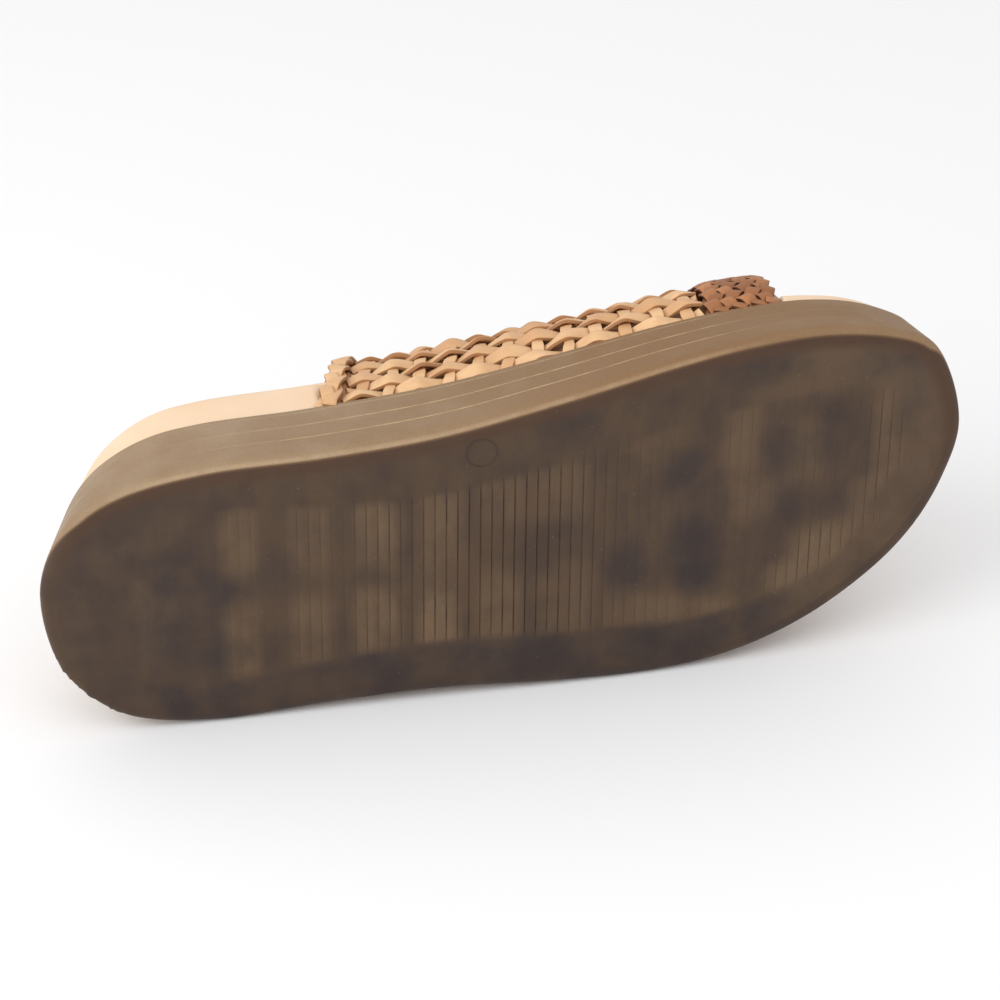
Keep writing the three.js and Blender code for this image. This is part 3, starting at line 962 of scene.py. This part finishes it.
class Shader:
    """One node material around its Principled surface. Noise is in features per metre."""

    def __init__(self, name):
        self.material = bpy.data.materials.new(name)
        self.material.use_nodes = True
        self.tree = self.material.node_tree
        self.surface = self.tree.nodes["Principled BSDF"]

    def feed(self, socket, value):
        """Links another node's output to a socket, or sets the socket to a constant."""
        if isinstance(value, bpy.types.NodeSocket):
            self.tree.links.new(value, socket)
        else:
            socket.default_value = value

    def attribute(self, name):
        """A value painted on the points of the mesh."""
        node = self.tree.nodes.new("ShaderNodeAttribute")
        node.attribute_name = name
        return node.outputs["Fac"]

    def noise(self, scale, detail, stretch=(1, 1, 1)):
        """Cloudy values that stay in place on the part."""
        place = self.tree.nodes.new("ShaderNodeTexCoord")
        mapping = self.tree.nodes.new("ShaderNodeMapping")
        mapping.inputs["Scale"].default_value = stretch
        self.feed(mapping.inputs["Vector"], place.outputs["Object"])
        node = self.tree.nodes.new("ShaderNodeTexNoise")
        node.inputs["Scale"].default_value = scale
        node.inputs["Detail"].default_value = detail
        self.feed(node.inputs["Vector"], mapping.outputs["Vector"])
        return node.outputs["Fac"]

    def spread(self, value, source, target=(0, 1)):
        """Maps the two ends of the source range onto those of the target range."""
        node = self.tree.nodes.new("ShaderNodeMapRange")
        self.feed(node.inputs["Value"], value)
        for name, end in zip(("From Min", "From Max", "To Min", "To Max"), (*source, *target)):
            node.inputs[name].default_value = end
        return node.outputs["Result"]

    def times(self, first, second):
        """Two values multiplied."""
        node = self.tree.nodes.new("ShaderNodeMath")
        node.operation = "MULTIPLY"
        self.feed(node.inputs[0], first)
        self.feed(node.inputs[1], second)
        return node.outputs["Value"]

    def mix(self, share, first, second):
        """From the first colour to the second. Each is given as screen values or as another mix."""
        node = self.tree.nodes.new("ShaderNodeMix")
        node.data_type = "RGBA"
        self.feed(node.inputs["Factor"], share)
        for name, colour in (("A_Color", first), ("B_Color", second)):
            socket = next(entry for entry in node.inputs if entry.identifier == name)
            self.feed(socket, linear(*colour) if isinstance(colour, tuple) else colour)
        return next(entry for entry in node.outputs if entry.identifier == "Result_Color")

    def bump(self, height, depth):
        """Fine relief, with its depth in millimetres."""
        node = self.tree.nodes.new("ShaderNodeBump")
        node.inputs["Distance"].default_value = depth * MM
        self.feed(node.inputs["Height"], height)
        self.feed(self.surface.inputs["Normal"], node.outputs["Normal"])

    def finish(self, colour, roughness):
        """The material with its colour and roughness."""
        self.feed(self.surface.inputs["Base Color"], colour)
        self.feed(self.surface.inputs["Roughness"], roughness)
        return self.material


def tread_colour(shader, cloud, smear):
    """The darker bottom, partly painted shade: mottled, with pale patches, stains, a painted warm glow
    inside its rim and grooves painted dark as shade.
    """
    pale = shader.times(shader.attribute("light"), shader.spread(smear, (0.3, 0.62), (0.35, 1.0)))
    stain = shader.times(shader.attribute("dark"), shader.spread(cloud, (0.35, 0.6), (0.35, 1.0)))
    # Painted glow of light through the rubber inside the bottom edge
    rim = shader.times(shader.attribute("rim"), shader.spread(cloud, (0.3, 0.7), (0.9, 0.55)))
    # Grooves painted dark: painted shade in them
    groove = shader.times(shader.attribute("tread_line"), shader.spread(smear, (0.35, 0.6)))
    colour = shader.mix(pale, TREAD, TREAD_PALE)
    colour = shader.mix(shader.spread(cloud, (0.45, 0.75), (0, 0.45)), colour, TREAD_DARK)
    colour = shader.mix(shader.spread(smear, (0.4, 0.7), (0, 0.3)), colour, TREAD_DARK)
    colour = shader.mix(stain, colour, TREAD_DARK)
    colour = shader.mix(rim, colour, RIM)
    return shader.mix(groove, colour, GROOVE_DARK)


def wall_colour(shader, cloud, smear):
    """The paler side, partly painted light, with pale lines along its grooves and along its bottom edge,
    which is worn and carries a painted highlight.
    """
    line = shader.times(shader.attribute("wall_line"), shader.spread(smear, (0.3, 0.6), (0.4, 1.0)))
    colour = shader.mix(shader.attribute("light"), WALL_DEEP, WALL)
    colour = shader.mix(shader.spread(cloud, (0.35, 0.7), (0, 0.4)), colour, WALL_DEEP)
    return shader.mix(line, colour, WALL_LINE)


def rubber():
    """Cast rubber of the platform, with a fine grain and pale specks."""
    shader = Shader("cast_rubber")
    cloud = shader.noise(scale=70, detail=4)
    smear = shader.noise(scale=220, detail=5, stretch=(1, 1, 0.4))
    grain = shader.noise(scale=1400, detail=3)
    tread = tread_colour(shader, cloud, smear)
    # Tread and wall colours: partly the rubber's own two tones, partly painted light on the wall and
    # painted shade on the tread
    colour = shader.mix(shader.attribute("wall"), tread, wall_colour(shader, cloud, smear))
    colour = shader.mix(shader.spread(grain, (0.4, 0.75), (0, 0.12)), colour, GROOVE_DARK)
    colour = shader.mix(shader.spread(grain, (0.25, 0.2), (0, 0.5)), colour, WALL_LINE)
    shader.surface.inputs["Specular IOR Level"].default_value = 0.3
    shader.bump(grain, depth=0.03)
    return shader.finish(colour, roughness=shader.spread(cloud, (0.3, 0.7), (0.45, 0.62)))


def footbed_leather():
    """Pale smooth leather."""
    shader = Shader("footbed_leather")
    cloud = shader.noise(scale=45, detail=3)
    shader.bump(shader.noise(scale=1800, detail=4), depth=0.05)
    colour = shader.mix(shader.spread(cloud, (0.35, 0.7)), FOOTBED_PALE, FOOTBED_DEEP)
    return shader.finish(colour, roughness=0.55)


def strip_leather(name, pale, deep, edge):
    """Leather of cut strips, each with its own tone and a darker cut edge, partly the leather's own and
    partly painted shade.
    """
    shader = Shader(name)
    cloud = shader.noise(scale=260, detail=4)
    colour = shader.mix(shader.attribute("tone"), pale, deep)
    colour = shader.mix(shader.spread(cloud, (0.45, 0.75), (0, 0.6)), colour, deep)
    colour = shader.mix(shader.attribute("rim"), colour, edge)
    shader.surface.inputs["Specular IOR Level"].default_value = 0.25
    shader.surface.inputs["Coat Weight"].default_value = 0.08
    shader.surface.inputs["Coat Roughness"].default_value = 0.3
    shader.bump(shader.noise(scale=2200, detail=4), depth=0.05)
    return shader.finish(colour, roughness=0.5)


def floor_paper():
    """Matte white paper."""
    return Shader("floor_paper").finish(linear(*FLOOR), roughness=0.8)


def finish_piece(piece, node, material):
    """Gives a piece its material and its place in the frame."""
    piece.data.materials.append(material)
    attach(piece, "root")
    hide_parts(node)


# Floor, lights and camera
def make_floor():
    """White paper under the shoe."""
    bpy.ops.mesh.primitive_plane_add(size=FLOOR_SIZE)
    floor = bpy.context.object
    floor.name = "floor"
    floor.data.materials.append(floor_paper())


def aim(at, target):
    """The turn that points a light or a camera at its target."""
    return (Vector(target) - Vector(at)).to_track_quat("-Z", "Y")


def add_light(name, at, target, size, power):
    """A square soft light, with its power in watts."""
    data = bpy.data.lights.new(name, "AREA")
    data.size = size
    data.energy = power
    light = bpy.data.objects.new(name, data)
    light.location = at
    light.rotation_euler = aim(at, target).to_euler()
    bpy.context.scene.collection.objects.link(light)


def make_lights():
    """A white world and two soft lights, with colours shown plainly."""
    world = bpy.data.worlds.new("studio")
    world.use_nodes = True
    background = world.node_tree.nodes["Background"]
    background.inputs["Color"].default_value = (1, 1, 1, 1)
    background.inputs["Strength"].default_value = WORLD_STRENGTH
    bpy.context.scene.world = world
    for name, light in LIGHTS.items():
        add_light(name, **light)
    bpy.context.scene.view_settings.view_transform = "Standard"


def make_camera():
    """A long lens at the photo's angle, rolled a little about its own axis."""
    data = bpy.data.cameras.new("camera")
    data.lens = CAMERA_LENS
    data.sensor_width = SENSOR
    camera = bpy.data.objects.new("camera", data)
    camera.location = CAMERA_AT
    roll = Quaternion((0, 0, 1), math.radians(CAMERA_ROLL))
    camera.rotation_euler = (aim(CAMERA_AT, CAMERA_TARGET) @ roll).to_euler()
    bpy.context.scene.collection.objects.link(camera)
    bpy.context.scene.camera = camera


tan = strip_leather("tan_leather", TAN_PALE, TAN_DEEP, TAN_EDGE)
brown = strip_leather("brown_leather", BROWN_PALE, BROWN_DEEP, BROWN_EDGE)
finish_piece(make_sole(), "sole", rubber())
finish_piece(make_footbed(), "footbed", footbed_leather())
finish_piece(make_weave(), "woven_band", tan)
finish_piece(make_braid("front_plait", FRONT_BRAID), "front_braid", brown)
finish_piece(make_braid("rear_plait", REAR_BRAID), "rear_braid", tan)
make_floor()
make_lights()
make_camera()
